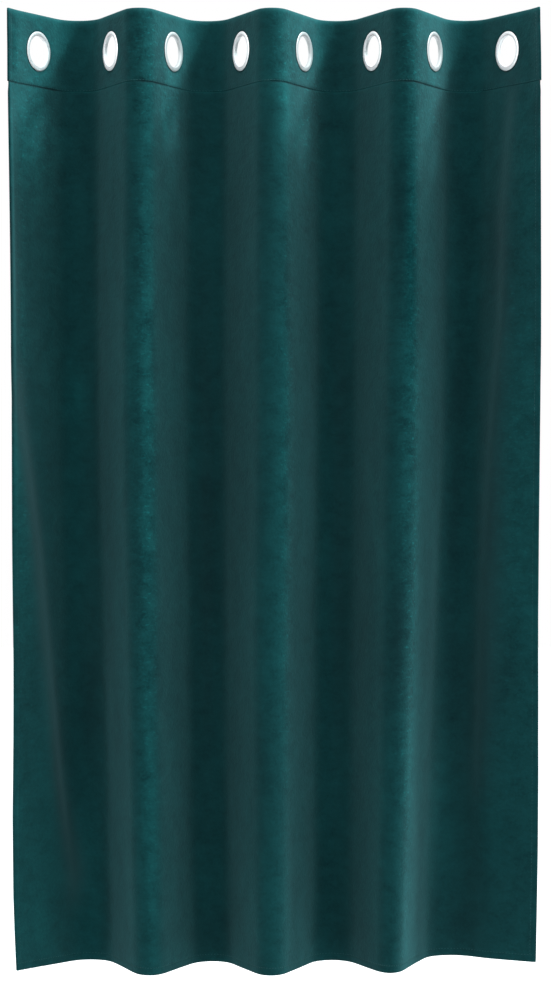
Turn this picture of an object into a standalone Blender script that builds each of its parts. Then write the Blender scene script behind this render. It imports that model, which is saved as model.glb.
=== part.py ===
"""Velvet eyelet curtain panel: a hanging panel, its heading band and eight metal eyelets.

Metres, +Z up, front to -Y. The origin is on the line that a rod through the eyelets would
take, halfway along the hung width, at the height of the top edge.

A horizontal section of the cloth is a chain of straight flanks and round bends. Each bend is
a circle that the cloth passes in front of (a crest, towards -Y) or behind (a trough), and
each flank is the straight line that touches two neighbouring circles.
"""

import math
from collections import namedtuple

import bmesh
import bpy
from mathutils import Matrix, Vector

MM = 0.001

# The cut panel
CLOTH_WIDTH = 1320 * MM
DROP_HEIGHT = 1370 * MM
HEADING_DEPTH = 104 * MM
CLOTH_THICKNESS = 2 * MM
HEM_THICKNESS = 3 * MM
SIDE_HEM = 12 * MM
BOTTOM_HEM = 12 * MM
HEM_STEP = 1 * MM
HEADING_THICKNESS = 3 * MM
HEADING_OVERHANG = 1 * MM
SEAM_GAP = 0.3 * MM

# One eyelet
EYELET_OUTER_RADIUS = 28.75 * MM
EYELET_BORE_RADIUS = 22.25 * MM
EYELET_BARREL_RADIUS = 24.6 * MM
EYELET_FACE_RISE = 2.4 * MM
EYELET_CLEARANCE = 0.3 * MM
EYELET_MIDDLE_BELOW_TOP = 52 * MM
EYELET_STEPS = 24
EYELET_DOME_STEPS = 4
PUNCH_LENGTH = 20 * MM

# The middle of each eyelet, in millimetres along the cloth from its left edge
Eyelet = namedtuple("Eyelet", "name distance")
EYELETS = [
    Eyelet("eyelet_1", 75),
    Eyelet("eyelet_2", 239),
    Eyelet("eyelet_3", 409),
    Eyelet("eyelet_4", 572),
    Eyelet("eyelet_5", 742),
    Eyelet("eyelet_6", 905),
    Eyelet("eyelet_7", 1074),
    Eyelet("eyelet_8", 1237),
]

# How finely the cloth is divided
BEND_STEPS = 8
RIDGE_STEPS = 2
DROP_ROWS = 12

CREST = 1
TROUGH = -1
EDGE = 0

# The folds at four heights, in millimetres: x and y are the foremost point of a crest's
# circle, or the rearmost of a trough's. An edge is the cloth's own end. The two ridges are
# soft bends that run down the side flanks, in from the edges towards the hem.
Fold = namedtuple("Fold", "name side x y radius")
Section = namedtuple("Section", "z folds")

HEADING_FOLDS = [
    Fold("left_edge", EDGE, -378, -65, 0),
    Fold("left_ridge", CREST, -376, -48, 10),
    Fold("trough_1", TROUGH, -287, 58, 34),
    Fold("crest_1", CREST, -194, -66, 22),
    Fold("trough_2", TROUGH, -100, 61, 33),
    Fold("crest_2", CREST, -6, -66, 22),
    Fold("trough_3", TROUGH, 88, 60, 33),
    Fold("crest_3", CREST, 182, -66, 21),
    Fold("trough_4", TROUGH, 276, 58, 34),
    Fold("right_ridge", CREST, 371, -59, 10),
    Fold("right_edge", EDGE, 371, -74, 0),
]
UPPER_FOLDS = [
    Fold("left_edge", EDGE, -375, -47, 0),
    Fold("left_ridge", CREST, -370, -34, 10),
    Fold("trough_1", TROUGH, -286, 69, 32),
    Fold("crest_1", CREST, -194, -65, 23),
    Fold("trough_2", TROUGH, -101, 63, 31),
    Fold("crest_2", CREST, -6, -66, 23),
    Fold("trough_3", TROUGH, 87, 68, 31),
    Fold("crest_3", CREST, 178, -58, 22),
    Fold("trough_4", TROUGH, 271, 80, 30),
    Fold("right_ridge", CREST, 325, 18, 10),
    Fold("right_edge", EDGE, 377, -26, 0),
]
LOWER_FOLDS = [
    Fold("left_edge", EDGE, -373, -33, 0),
    Fold("left_ridge", CREST, -334, 16, 10),
    Fold("trough_1", TROUGH, -278, 78, 33),
    Fold("crest_1", CREST, -188, -63, 22),
    Fold("trough_2", TROUGH, -99, 65, 30),
    Fold("crest_2", CREST, -8, -66, 22),
    Fold("trough_3", TROUGH, 83, 73, 30),
    Fold("crest_3", CREST, 171, -50, 20),
    Fold("trough_4", TROUGH, 261, 104, 33),
    Fold("right_ridge", CREST, 304, 65, 10),
    Fold("right_edge", EDGE, 378, 20, 0),
]
HEM_FOLDS = [
    Fold("left_edge", EDGE, -370, -15, 0),
    Fold("left_ridge", CREST, -321, 48, 10),
    Fold("trough_1", TROUGH, -270, 84, 34),
    Fold("crest_1", CREST, -180, -60, 20),
    Fold("trough_2", TROUGH, -93, 66, 29),
    Fold("crest_2", CREST, -7, -63, 20),
    Fold("trough_3", TROUGH, 82, 77, 30),
    Fold("crest_3", CREST, 163, -39, 16),
    Fold("trough_4", TROUGH, 258, 126, 42),
    Fold("right_ridge", CREST, 313, 93, 7),
    Fold("right_edge", EDGE, 376, 60, 0),
]
SECTIONS = [
    Section(0, HEADING_FOLDS),
    Section(-HEADING_DEPTH, HEADING_FOLDS),
    Section(-550 * MM, UPPER_FOLDS),
    Section(-950 * MM, LOWER_FOLDS),
    Section(-DROP_HEIGHT, HEM_FOLDS),
]

# The cloth's width is met by making the folds this much shallower or deeper
DEPTH_SCALE_LOW = 0.8
DEPTH_SCALE_HIGH = 1.2
DEPTH_SCALE_TOLERANCE = 1e-7

Finish = namedtuple("Finish", "name colour roughness metallic sharp_angle")
VELVET = Finish("velvet", (0.010, 0.085, 0.090), 0.85, 0.0, math.radians(40))
VELVET_BAND = Finish("velvet_band", (0.010, 0.085, 0.090), 0.85, 0.0, math.radians(40))
EYELET_METAL = Finish("eyelet_metal", (0.82, 0.83, 0.84), 0.2, 1.0, math.radians(60))

Station = namedtuple("Station", "point direction")


def make_material(finish):
    """A Principled material with one colour."""
    material = bpy.data.materials.new(finish.name)
    material.use_nodes = True
    shader = material.node_tree.nodes["Principled BSDF"]
    shader.inputs["Base Color"].default_value = (*finish.colour, 1.0)
    shader.inputs["Roughness"].default_value = finish.roughness
    shader.inputs["Metallic"].default_value = finish.metallic
    return material


def finished_mesh(name, bm, finish):
    """Turns a bmesh into a mesh that is shaded smooth between its sharp edges."""
    mesh = bpy.data.meshes.new(name)
    bm.to_mesh(mesh)
    bm.free()
    mesh.materials.append(make_material(finish))
    mesh.shade_smooth()
    mesh.set_sharp_from_angle(angle=finish.sharp_angle)
    return mesh


def add_object(name, mesh):
    """Adds a named object that shows a mesh."""
    part = bpy.data.objects.new(name, mesh)
    bpy.context.collection.objects.link(part)
    return part


def folds_at(z):
    """The table of folds at a height, in metres, blended between the sections above and below."""
    for upper, lower in zip(SECTIONS, SECTIONS[1:]):
        if z >= lower.z:
            break
    share = (upper.z - z) / (upper.z - lower.z)
    blended = []
    for a, b in zip(upper.folds, lower.folds):
        x = a.x + share * (b.x - a.x)
        y = a.y + share * (b.y - a.y)
        radius = a.radius + share * (b.radius - a.radius)
        blended.append(Fold(a.name, a.side, x * MM, y * MM, radius * MM))
    return blended


def touching_lines(folds, depth_scale):
    """The bends' middles and signed radii, and each flank's direction and length.

    A flank turns from the line between two middles by the angle whose sine is the
    difference of the signed radii over their distance.
    """
    radii = [fold.side * fold.radius for fold in folds]
    middles = [Vector((fold.x, fold.y * depth_scale + radius)) for fold, radius in zip(folds, radii)]
    directions = []
    lengths = []
    for i in range(len(folds) - 1):
        across = middles[i + 1] - middles[i]
        turn = math.asin((radii[i + 1] - radii[i]) / across.length)
        directions.append(math.atan2(across.y, across.x) - turn)
        lengths.append(across.length * math.cos(turn))
    return middles, radii, directions, lengths


def section_length(folds, depth_scale):
    """The cloth that a section takes up: its flanks and the arcs of its bends."""
    _, radii, directions, lengths = touching_lines(folds, depth_scale)
    arcs = [radii[i] * (directions[i] - directions[i - 1]) for i in range(1, len(directions))]
    return sum(lengths) + sum(arcs)


def depth_scale_for(folds):
    """How much deeper the folds must be for the section to take up the cloth's cut width."""
    low, high = DEPTH_SCALE_LOW, DEPTH_SCALE_HIGH
    while high - low > DEPTH_SCALE_TOLERANCE:
        middle = (low + high) / 2
        if section_length(folds, middle) < CLOTH_WIDTH:
            low = middle
        else:
            high = middle
    return (low + high) / 2


def section_stations(z):
    """Points and directions along the front of the cloth at a height, from left to right."""
    folds = folds_at(z)
    middles, radii, directions, _ = touching_lines(folds, depth_scale_for(folds))
    stations = [Station(middles[0], directions[0])]
    for i in range(1, len(folds) - 1):
        steps = RIDGE_STEPS if "ridge" in folds[i].name else BEND_STEPS
        for k in range(steps + 1):
            angle = directions[i - 1] + (directions[i] - directions[i - 1]) * k / steps
            outward = Vector((math.sin(angle), -math.cos(angle)))
            stations.append(Station(middles[i] + radii[i] * outward, angle))
    stations.append(Station(middles[-1], directions[-1]))
    return stations


def along(station, distance):
    """A station moved along its own direction."""
    step = Vector((math.cos(station.direction), math.sin(station.direction)))
    return Station(station.point + distance * step, station.direction)


def front_and_back(station, thickness, z):
    """The front point of the cloth at a station, and the point straight behind it."""
    normal = Vector((-math.sin(station.direction), math.cos(station.direction)))
    back = station.point + thickness * normal
    return Vector((*station.point, z)), Vector((*back, z))


def cloth_solid(rows):
    """A closed sheet from rows of (front, back) points, top row first."""
    bm = bmesh.new()
    fronts = [[bm.verts.new(front) for front, _ in row] for row in rows]
    backs = [[bm.verts.new(back) for _, back in row] for row in rows]
    last_row = len(rows) - 1
    last_column = len(rows[0]) - 1
    for i in range(last_row):
        for j in range(last_column):
            bm.faces.new((fronts[i][j], fronts[i + 1][j], fronts[i + 1][j + 1], fronts[i][j + 1]))
            bm.faces.new((backs[i][j], backs[i][j + 1], backs[i + 1][j + 1], backs[i + 1][j]))
        bm.faces.new((fronts[i][0], backs[i][0], backs[i + 1][0], fronts[i + 1][0]))
        bm.faces.new((fronts[i][-1], fronts[i + 1][-1], backs[i + 1][-1], backs[i][-1]))
    for j in range(last_column):
        bm.faces.new((fronts[0][j], fronts[0][j + 1], backs[0][j + 1], backs[0][j]))
        bm.faces.new((fronts[-1][j], backs[-1][j], backs[-1][j + 1], fronts[-1][j + 1]))
    return bm


def drop_row(z, whole_row_hemmed):
    """One row of the drop: the side hems, and the whole of the bottom hem, are thicker."""
    middle = section_stations(z)
    middle_thickness = HEM_THICKNESS if whole_row_hemmed else CLOTH_THICKNESS
    left, right = middle[0], middle[-1]
    row = [front_and_back(left, HEM_THICKNESS, z)]
    row.append(front_and_back(along(left, SIDE_HEM), HEM_THICKNESS, z))
    row.append(front_and_back(along(left, SIDE_HEM + HEM_STEP), middle_thickness, z))
    row += [front_and_back(station, middle_thickness, z) for station in middle[1:-1]]
    row.append(front_and_back(along(right, -SIDE_HEM - HEM_STEP), middle_thickness, z))
    row.append(front_and_back(along(right, -SIDE_HEM), HEM_THICKNESS, z))
    row.append(front_and_back(right, HEM_THICKNESS, z))
    return row


def add_drop():
    """The panel from the heading's seam to the hem, with turned side and bottom hems."""
    top = -HEADING_DEPTH - SEAM_GAP
    hem_top = -DROP_HEIGHT + BOTTOM_HEM
    rows = []
    for k in range(DROP_ROWS):
        rows.append(drop_row(top + (hem_top + HEM_STEP - top) * k / (DROP_ROWS - 1), False))
    rows.append(drop_row(hem_top, True))
    rows.append(drop_row(-DROP_HEIGHT, True))
    add_object("drop", finished_mesh("drop", cloth_solid(rows), VELVET))


def add_heading(punches):
    """The stiff band along the top, with a punched hole for each eyelet."""
    stations = section_stations(0)
    stations[0] = along(stations[0], -HEADING_OVERHANG)
    stations[-1] = along(stations[-1], HEADING_OVERHANG)
    rows = []
    for z in (0, -HEADING_DEPTH):
        rows.append([front_and_back(station, HEADING_THICKNESS, z) for station in stations])
    heading = add_object("heading", finished_mesh("heading", cloth_solid(rows), VELVET_BAND))
    for punch in punches:
        cut = heading.modifiers.new(punch.name, "BOOLEAN")
        cut.operation = "DIFFERENCE"
        cut.solver = "EXACT"
        cut.object = punch


def eyelet_places():
    """A station at each eyelet's middle, which lies on a straight flank between two bends."""
    folds = folds_at(0)
    middles, radii, directions, lengths = touching_lines(folds, depth_scale_for(folds))
    places = []
    flank_start = 0
    for i, direction in enumerate(directions):
        if i > 0:
            flank_start += radii[i] * (direction - directions[i - 1])
        outward = Vector((math.sin(direction), -math.cos(direction)))
        start = Station(middles[i] + radii[i] * outward, direction)
        for eyelet in EYELETS:
            distance = eyelet.distance * MM - flank_start
            if 0 <= distance < lengths[i]:
                places.append(along(start, distance))
        flank_start += lengths[i]
    return places


def eyelet_matrix(place):
    """Turns a ring's own +Z, its front, to the front of the cloth at a place."""
    position = Matrix.Translation((*place.point, -EYELET_MIDDLE_BELOW_TOP))
    facing = Matrix.Rotation(place.direction, 4, "Z")
    upright = Matrix.Rotation(math.pi / 2, 4, "X")
    return position @ facing @ upright


def add_punch(eyelet, place):
    """The cutter that makes one hole in the heading."""
    bm = bmesh.new()
    radius = EYELET_BARREL_RADIUS + EYELET_CLEARANCE
    bmesh.ops.create_cone(
        bm,
        cap_ends=True,
        segments=EYELET_STEPS,
        radius1=radius,
        radius2=radius,
        depth=PUNCH_LENGTH,
    )
    mesh = bpy.data.meshes.new("punch")
    bm.to_mesh(mesh)
    bm.free()
    punch = add_object(f"{eyelet.name}_punch", mesh)
    punch.matrix_world = eyelet_matrix(place)
    punch.hide_render = True
    punch.display_type = "WIRE"
    return punch


def eyelet_profile():
    """Half of the eyelet's section as (radius, height) points, height 0 on the cloth's front.

    Each face is a half oval from the rim to the bore, and the groove between them holds the
    band.
    """
    middle = (EYELET_OUTER_RADIUS + EYELET_BORE_RADIUS) / 2
    half_width = (EYELET_OUTER_RADIUS - EYELET_BORE_RADIUS) / 2
    front = EYELET_CLEARANCE
    back = -HEADING_THICKNESS - EYELET_CLEARANCE
    profile = []
    for k in range(EYELET_DOME_STEPS + 1):
        angle = math.pi * k / EYELET_DOME_STEPS
        rise = EYELET_FACE_RISE * math.sin(angle)
        profile.append((middle + half_width * math.cos(angle), front + rise))
    for k in range(EYELET_DOME_STEPS + 1):
        angle = math.pi * k / EYELET_DOME_STEPS
        rise = EYELET_FACE_RISE * math.sin(angle)
        profile.append((middle - half_width * math.cos(angle), back - rise))
    profile.append((EYELET_BARREL_RADIUS, back))
    profile.append((EYELET_BARREL_RADIUS, front))
    return profile


def eyelet_ring():
    """The profile turned once round the ring's axis."""
    profile = eyelet_profile()
    bm = bmesh.new()
    rings = []
    for step in range(EYELET_STEPS):
        angle = 2 * math.pi * step / EYELET_STEPS
        across = Vector((math.cos(angle), math.sin(angle), 0))
        rings.append([bm.verts.new(radius * across + Vector((0, 0, height))) for radius, height in profile])
    for step in range(EYELET_STEPS):
        here = rings[step]
        after = rings[(step + 1) % EYELET_STEPS]
        for k in range(len(profile)):
            ahead = (k + 1) % len(profile)
            bm.faces.new((here[k], after[k], after[ahead], here[ahead]))
    bmesh.ops.recalc_face_normals(bm, faces=bm.faces)
    return finished_mesh("eyelet", bm, EYELET_METAL)


def add_eyelets(places):
    """One eyelet in each hole, all from one turned ring."""
    ring = eyelet_ring()
    for eyelet, place in zip(EYELETS, places):
        fitted = add_object(eyelet.name, ring)
        fitted.matrix_world = eyelet_matrix(place)


def main():
    for old in list(bpy.data.objects):
        bpy.data.objects.remove(old, do_unlink=True)
    places = eyelet_places()
    punches = [add_punch(eyelet, place) for eyelet, place in zip(EYELETS, places)]
    add_drop()
    add_heading(punches)
    add_eyelets(places)


main()
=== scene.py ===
import math

import bpy
import numpy as np
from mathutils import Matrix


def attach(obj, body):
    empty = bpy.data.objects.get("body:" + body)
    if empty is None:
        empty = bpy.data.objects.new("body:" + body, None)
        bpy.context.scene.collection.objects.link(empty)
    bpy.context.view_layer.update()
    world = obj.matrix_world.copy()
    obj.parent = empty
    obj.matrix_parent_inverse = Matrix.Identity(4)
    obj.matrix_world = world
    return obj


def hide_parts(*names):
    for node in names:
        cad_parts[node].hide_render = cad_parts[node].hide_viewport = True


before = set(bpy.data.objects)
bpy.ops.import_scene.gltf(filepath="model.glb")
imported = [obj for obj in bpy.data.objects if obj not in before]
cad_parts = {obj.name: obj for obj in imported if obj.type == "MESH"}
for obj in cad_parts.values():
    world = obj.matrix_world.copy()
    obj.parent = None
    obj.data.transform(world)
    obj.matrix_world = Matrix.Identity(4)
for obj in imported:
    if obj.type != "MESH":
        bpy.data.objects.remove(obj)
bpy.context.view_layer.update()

mm = 0.001  # lengths are in metres, except in the tables that say mm
print("frame loaded:", len(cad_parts), "nodes")


# The hanging cloth, shared by the drop, the heading, the eyelets and the stitches. A place on it
# is (s, z): s runs along the cloth from its left edge, and z is the height, 0 at the top edge.
cloth = {
    "cutWidth": 1.320,  # hemmed width of the panel, laid flat
    "headingDepth": 0.104,  # top edge to the stitched line
    "dropHeight": 1.370,
    "easing": (0.007, 0.011),  # how far each bend is eased, at the top and at the hem
    "depthScales": (0.8, 1.2),  # how much shallower or deeper the fitted folds may be
    "depthScaleHeights": 90,  # how many heights they are fitted at
    "depthScaleHalvings": 30,
    "edgeReach": 0.05,  # how far in from a side edge its wandering is felt
    "hemReach": 0.15,  # how far up from the hem its sag is felt
    "eyeletBelowTop": 0.0529,
}

# The heights of the four sections: at the seam, at two places between, and at the hem.
sectionHeights = -np.array([cloth["headingDepth"], 0.55, 0.95, cloth["dropHeight"]])

# A row for each fold from the left: 1 for a crest, -1 for a trough and 0 for the cloth's own end,
# then (x, y, bend radius) in mm in each section. x and y are a crest's foremost point or a trough's
# rearmost. A ridge is a soft bend down a side flank.
foldRows = {
    "leftEdge": (0, (-378, -65, 0), (-375, -47, 0), (-373, -33, 0), (-370, -15, 0)),
    "leftRidge": (1, (-376, -48, 10), (-370, -34, 10), (-334, 16, 10), (-321, 48, 10)),
    "trough1": (-1, (-287, 58, 34), (-286, 69, 32), (-278, 78, 33), (-270, 84, 34)),
    "crest1": (1, (-194, -66, 22), (-194, -65, 23), (-188, -63, 22), (-180, -60, 20)),
    "trough2": (-1, (-100, 61, 33), (-101, 63, 31), (-99, 65, 30), (-93, 66, 29)),
    "crest2": (1, (-6, -66, 22), (-6, -66, 23), (-8, -66, 22), (-7, -63, 20)),
    "trough3": (-1, (88, 60, 33), (87, 68, 31), (83, 73, 30), (82, 77, 30)),
    "crest3": (1, (182, -66, 21), (178, -58, 22), (171, -50, 20), (163, -39, 16)),
    "trough4": (-1, (276, 58, 34), (271, 80, 30), (261, 104, 33), (258, 126, 42)),
    "rightRidge": (1, (371, -59, 10), (325, 18, 10), (304, 65, 10), (313, 93, 7)),
    "rightEdge": (0, (371, -74, 0), (377, -26, 0), (378, 20, 0), (376, 60, 0)),
}
foldSides = np.array([row[0] for row in foldRows.values()])
foldShapes = np.array([row[1:] for row in foldRows.values()]) * mm  # fold, section, (x, y, radius)


# 0 below low, 1 above high, and an S curve between.
def smoothStep(low, high, value):
    t = np.clip((value - low) / (high - low), 0, 1)
    return t * t * (3 - 2 * t)


# 1 at the middle of a line, falling as a bell to nothing about two widths away.
def bell(distance, width):
    return np.exp(-((distance / width) ** 2))


# Folds at heights z: a cubic curve through the four sections whose slope at each section is the
# mean of the slopes on its two sides. Above the seam the folds stay as they are at the seam.
def foldsAt(z):
    values = np.moveaxis(foldShapes, 1, 0)  # section, fold, (x, y, radius)
    steps = np.diff(sectionHeights)[:, None, None]
    secants = np.diff(values, axis=0) / steps
    slopes = np.concatenate([secants[:1], (secants[:-1] + secants[1:]) / 2, secants[-1:]])
    z = np.clip(z, sectionHeights[-1], sectionHeights[0])
    k = np.clip(np.searchsorted(-sectionHeights, -z, side="right") - 1, 0, len(steps) - 1)
    step = steps[k]
    t = ((z - sectionHeights[k]) / step[:, 0, 0])[:, None, None]
    start = values[k] * (1 + 2 * t) * (1 - t) ** 2 + slopes[k] * step * t * (1 - t) ** 2
    end = values[k + 1] * t * t * (3 - 2 * t) + slopes[k + 1] * step * t * t * (t - 1)
    return start + end


# The chain of flanks and bends that folds make: each flank is the line that touches two
# neighbouring circles, so it turns from the line between their middles by the angle whose sine
# is the difference of the signed radii over their distance.
def chainOf(folds, depthScale):
    radii = foldSides * folds[:, :, 2]
    middles = np.stack([folds[:, :, 0], folds[:, :, 1] * depthScale[:, None] + radii], axis=2)
    across = np.diff(middles, axis=1)
    distances = np.linalg.norm(across, axis=2)
    turns = np.arcsin(np.diff(radii, axis=1) / distances)
    angles = np.arctan2(across[:, :, 1], across[:, :, 0]) - turns
    flanks = distances * np.cos(turns)
    arcs = radii[:, 1:-1] * np.diff(angles, axis=1)
    lengths = np.zeros((len(folds), 2 * flanks.shape[1] - 1))
    lengths[:, 0::2] = flanks
    lengths[:, 1::2] = arcs
    return middles, radii, angles, lengths


# How much deeper the folds are at each height for the cloth there to be as long as its cut
# width, found by halving.
def fitDepthScales(heights):
    folds = foldsAt(heights)
    low, high = (np.full(len(heights), scale) for scale in cloth["depthScales"])
    for _ in range(cloth["depthScaleHalvings"]):
        middle = (low + high) / 2
        isShort = chainOf(folds, middle)[3].sum(axis=1) < cloth["cutWidth"]
        low, high = np.where(isShort, middle, low), np.where(isShort, high, middle)
    return (low + high) / 2


scaleHeights = np.linspace(-cloth["dropHeight"], 0, cloth["depthScaleHeights"])
depthScales = fitDepthScales(scaleHeights)


# The point on a chain at a distance s along the cloth: on a flank it goes straight on from
# where the flank starts, and on a bend it turns about the circle's middle.
def walkChain(chain, s):
    middles, radii, angles, lengths = chain
    row = np.arange(len(s))
    ends = np.cumsum(lengths, axis=1)
    piece = np.minimum((ends < s[:, None]).sum(axis=1), lengths.shape[1] - 1)
    rest = s - (ends[row, piece] - lengths[row, piece])
    fold = (piece + 1) // 2  # the circle that a flank starts from, or that a bend goes round
    isBend = piece % 2 == 1
    flank = np.minimum(piece // 2, angles.shape[1] - 1)
    radius = radii[row, fold]
    turned = rest / np.where(isBend & (radius != 0), radius, 1)
    angle = angles[row, flank] + np.where(isBend, turned, 0)
    outward = np.stack([np.sin(angle), -np.cos(angle)], axis=1)
    along = np.stack([np.cos(angle), np.sin(angle)], axis=1)
    straight = np.where(isBend, 0, rest)
    return middles[row, fold] + radius[:, None] * outward + straight[:, None] * along, angle


# The front line of the cloth: the mean of five nearby points of the chain, weighted 1, 4, 6, 4
# and 1, which eases the places where a flank runs into a bend.
def clothLine(s, z):
    chain = chainOf(foldsAt(z), np.interp(z, scaleHeights, depthScales))
    point, angle = np.zeros((len(s), 2)), np.zeros(len(s))
    easing = np.interp(-z, (0, cloth["dropHeight"]), cloth["easing"])
    for offset, weight in ((-2, 1), (-1, 4), (0, 6), (1, 4), (2, 1)):
        nearPoint, nearAngle = walkChain(chain, s + offset * easing)
        point += nearPoint * weight / 16
        angle += nearAngle * weight / 16
    return point, angle


# The middle of each eyelet, in mm along the cloth from its left edge.
eyeletRows = {
    "eyelet_1": 75,
    "eyelet_2": 241,
    "eyelet_3": 410.5,
    "eyelet_4": 574,
    "eyelet_5": 743.5,
    "eyelet_6": 907,
    "eyelet_7": 1074,
    "eyelet_8": 1239,
}
eyeletS = np.array(list(eyeletRows.values())) * mm
eyeletPoints, eyeletAngles = clothLine(eyeletS, np.zeros(len(eyeletS)))


# Distances on the cloth: below the seam, above the hem, from the nearer side edge and from the
# middle of the nearest eyelet.
def belowSeam(z):
    return -cloth["headingDepth"] - z


def aboveHem(z):
    return z + cloth["dropHeight"]


def fromSide(s):
    return np.minimum(s, cloth["cutWidth"] - s)


def fromEyelet(s, z):
    return np.hypot(s[:, None] - eyeletS[None], z[:, None] + cloth["eyeletBelowTop"]).min(axis=1)


# The seam is open on the right flank of each crest, and nearly covered by pile elsewhere.
seam = {
    "pastCrest": 0.055,  # how far past each crest it is most open
    "opens": (0.5, 0.8),  # shares of the way from trough to crest between which it opens
    "lastPanel": (1.15, 1.22),  # where the last panel starts
    "lastPanelOpen": 0.3,  # how open it is there
    "apart": 0.0001,  # from the heading to the drop
    "roll": 0.0011,  # how deep both fronts roll into it where it is open
    "coveredRoll": 0.08,  # the share of that where it is covered
    "rollWidth": 0.0022,
}

# The places of the bends along the seam, 1 at a crest and 0 at a trough.
seamChain = chainOf(foldsAt(np.array([-cloth["headingDepth"]])), depthScales[-1:])
seamLengths = np.cumsum(seamChain[3][0])
bendPlaces = (seamLengths[0:-1:2] + seamLengths[1::2]) / 2
bendHeights = (1 + foldSides[1:-1]) / 2


# How open the seam is, from 0 to 1, by the share of the way from trough to crest a little way
# back along the cloth.
def seamShare(s):
    height = np.interp(s - seam["pastCrest"], bendPlaces, bendHeights)
    lastPanel = smoothStep(*seam["lastPanel"], s)
    return smoothStep(*seam["opens"], height) * (1 - lastPanel) + seam["lastPanelOpen"] * lastPanel


# The front of the drop and of the heading rolls into the seam.
def seamRoll(s, z):
    deep = seam["coveredRoll"] + (1 - seam["coveredRoll"]) * seamShare(s)
    return seam["roll"] * deep * bell(belowSeam(z), seam["rollWidth"])


# Small wanderings of the two side edges: (height below the top edge, outward) in mm.
edgeWanders = {
    "left": (
        (0, 0.3), (-26, 0.2), (-55, -0.2), (-104, -0.3), (-188, -0.5), (-300, -0.9), (-413, -1.1),
        (-471, -0.8), (-527, 0.5), (-583, 1.1), (-640, 0.7), (-700, 0.2), (-810, -0.3), (-920, -0.4),
        (-980, 0.0), (-1036, 0.5), (-1092, 1.5), (-1150, 2.8), (-1262, 3.1), (-1320, 2.0), (-1370, 0.4),
    ),
    "right": (
        (0, -0.4), (-26, -0.1), (-40, 0.35), (-69, 0.9), (-104, 1.2), (-125, 0.7), (-188, 0.9),
        (-380, 0.8), (-471, 0.1), (-530, -0.7), (-753, -1.4), (-860, -1.1), (-980, 0.0), (-1040, 0.4),
        (-1100, 1.4), (-1205, 2.3), (-1370, 1.9),
    ),
}

# How much lower the hem hangs than a level cut: (s, down) in mm.
hemWanders = (
    (0, 1.1), (70, 0.5), (140, -0.2), (250, 0.35), (330, 1.2), (390, 0.4), (490, -0.4), (560, 0.3),
    (652, 0.7), (770, 0.2), (830, -0.5), (900, 0.4), (980, 1.3), (1080, 0.1), (1190, -0.2), (1320, 0.3),
)


# The push along x of the cloth near its side edges: the wandering at its height times a bell of
# the distance from the edge.
def edgeShift(s, z):
    shift = np.zeros(len(s))
    for side, outward, fromEdge in (("left", -1, s), ("right", 1, cloth["cutWidth"] - s)):
        heights, amounts = np.array(edgeWanders[side][::-1]).T * mm
        nearEdge = bell(np.maximum(fromEdge, 0), cloth["edgeReach"])
        shift += outward * np.interp(z, heights, amounts) * nearEdge
    return shift


# How far the cloth sags near its hem, fading out upwards as an S curve over hemReach.
def hemSag(s, z):
    places, amounts = np.array(hemWanders).T * mm
    fade = 1 - smoothStep(0, cloth["hemReach"], aboveHem(z))
    return np.interp(s, places, amounts) * fade


# The slow unevenness of the hanging cloth. Lengths of waves are in metres.
ripples = {
    "depth": 0.0006,
    "fadesIn": 0.25,  # below the heading, over this height
    "broadWave": (0.23, 0.61),  # across and up
    "broadSway": (0.20, 0.95),  # it sways by this share of a wave, over this height
    "broadStart": 0.8,
    "fineWave": (0.094, 0.37),
    "fineSlant": 0.83,  # the height over which it shifts across by one wave
    "fineShare": 0.45,
}


# How far the cloth's whole thickness is pushed forward: two waves, a broad one that sways and a
# fine one that slants, each a sine across times a sine up.
def ripple(s, z):
    turn = 2 * np.pi
    fade = smoothStep(0, ripples["fadesIn"], belowSeam(z))
    (across, up), (sway, swayHeight) = ripples["broadWave"], ripples["broadSway"]
    broad = np.sin(turn * (s / across + sway * np.sin(turn * z / swayHeight)))
    broad = broad * np.sin(turn * z / up + ripples["broadStart"])
    across, up = ripples["fineWave"]
    fine = np.sin(turn * (s / across + z / ripples["fineSlant"])) * np.sin(turn * z / up)
    return ripples["depth"] * fade * (broad + ripples["fineShare"] * fine)


# Two slanting creases, where the cloth steps back over a short steep flank. Each row has how far
# it steps (more than 0 where it steps back towards the right), half the step's width and half
# the width of the painted sheen along it, all in mm, how much sheen is painted there, and the line's
# (z, s) in mm.
creaseRows = {
    "left": (
        3.4, 15, 19, 1.0,
        ((-560, 17), (-640, 31), (-755, 50), (-869, 62), (-984, 77), (-1100, 92), (-1230, 118)),
    ),
    "right": (
        -3.0, 18, 25, 0.5,
        ((-110, 1250), (-295, 1236), (-440, 1248), (-582, 1235), (-812, 1236), (-1080, 1222)),
    ),
}
creaseFade = 0.09  # each crease fades in and out over this height
creaseBelowSeam = 0.02  # and below the seam over this


# The distance from a crease in half widths, and how strong the crease is at each height.
def creaseAt(s, z, halfWidth, line):
    heights, places = np.array(line[::-1]).T * mm
    fromEnds = np.minimum(z - heights[0], heights[-1] - z)
    return (s - np.interp(z, heights, places)) / (halfWidth * mm), smoothStep(-creaseFade, 0, fromEnds)


# A crease pushes the cloth forward on one side of its line and back on the other, by the
# distance in half widths times a bell of it.
def creases(s, z):
    lift = np.zeros(len(s))
    for step, halfWidth, _, _, line in creaseRows.values():
        away, strength = creaseAt(s, z, halfWidth, line)
        lift -= step * mm * away * bell(away, math.sqrt(2)) * strength
    return lift * smoothStep(0, creaseBelowSeam, belowSeam(z))


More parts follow.
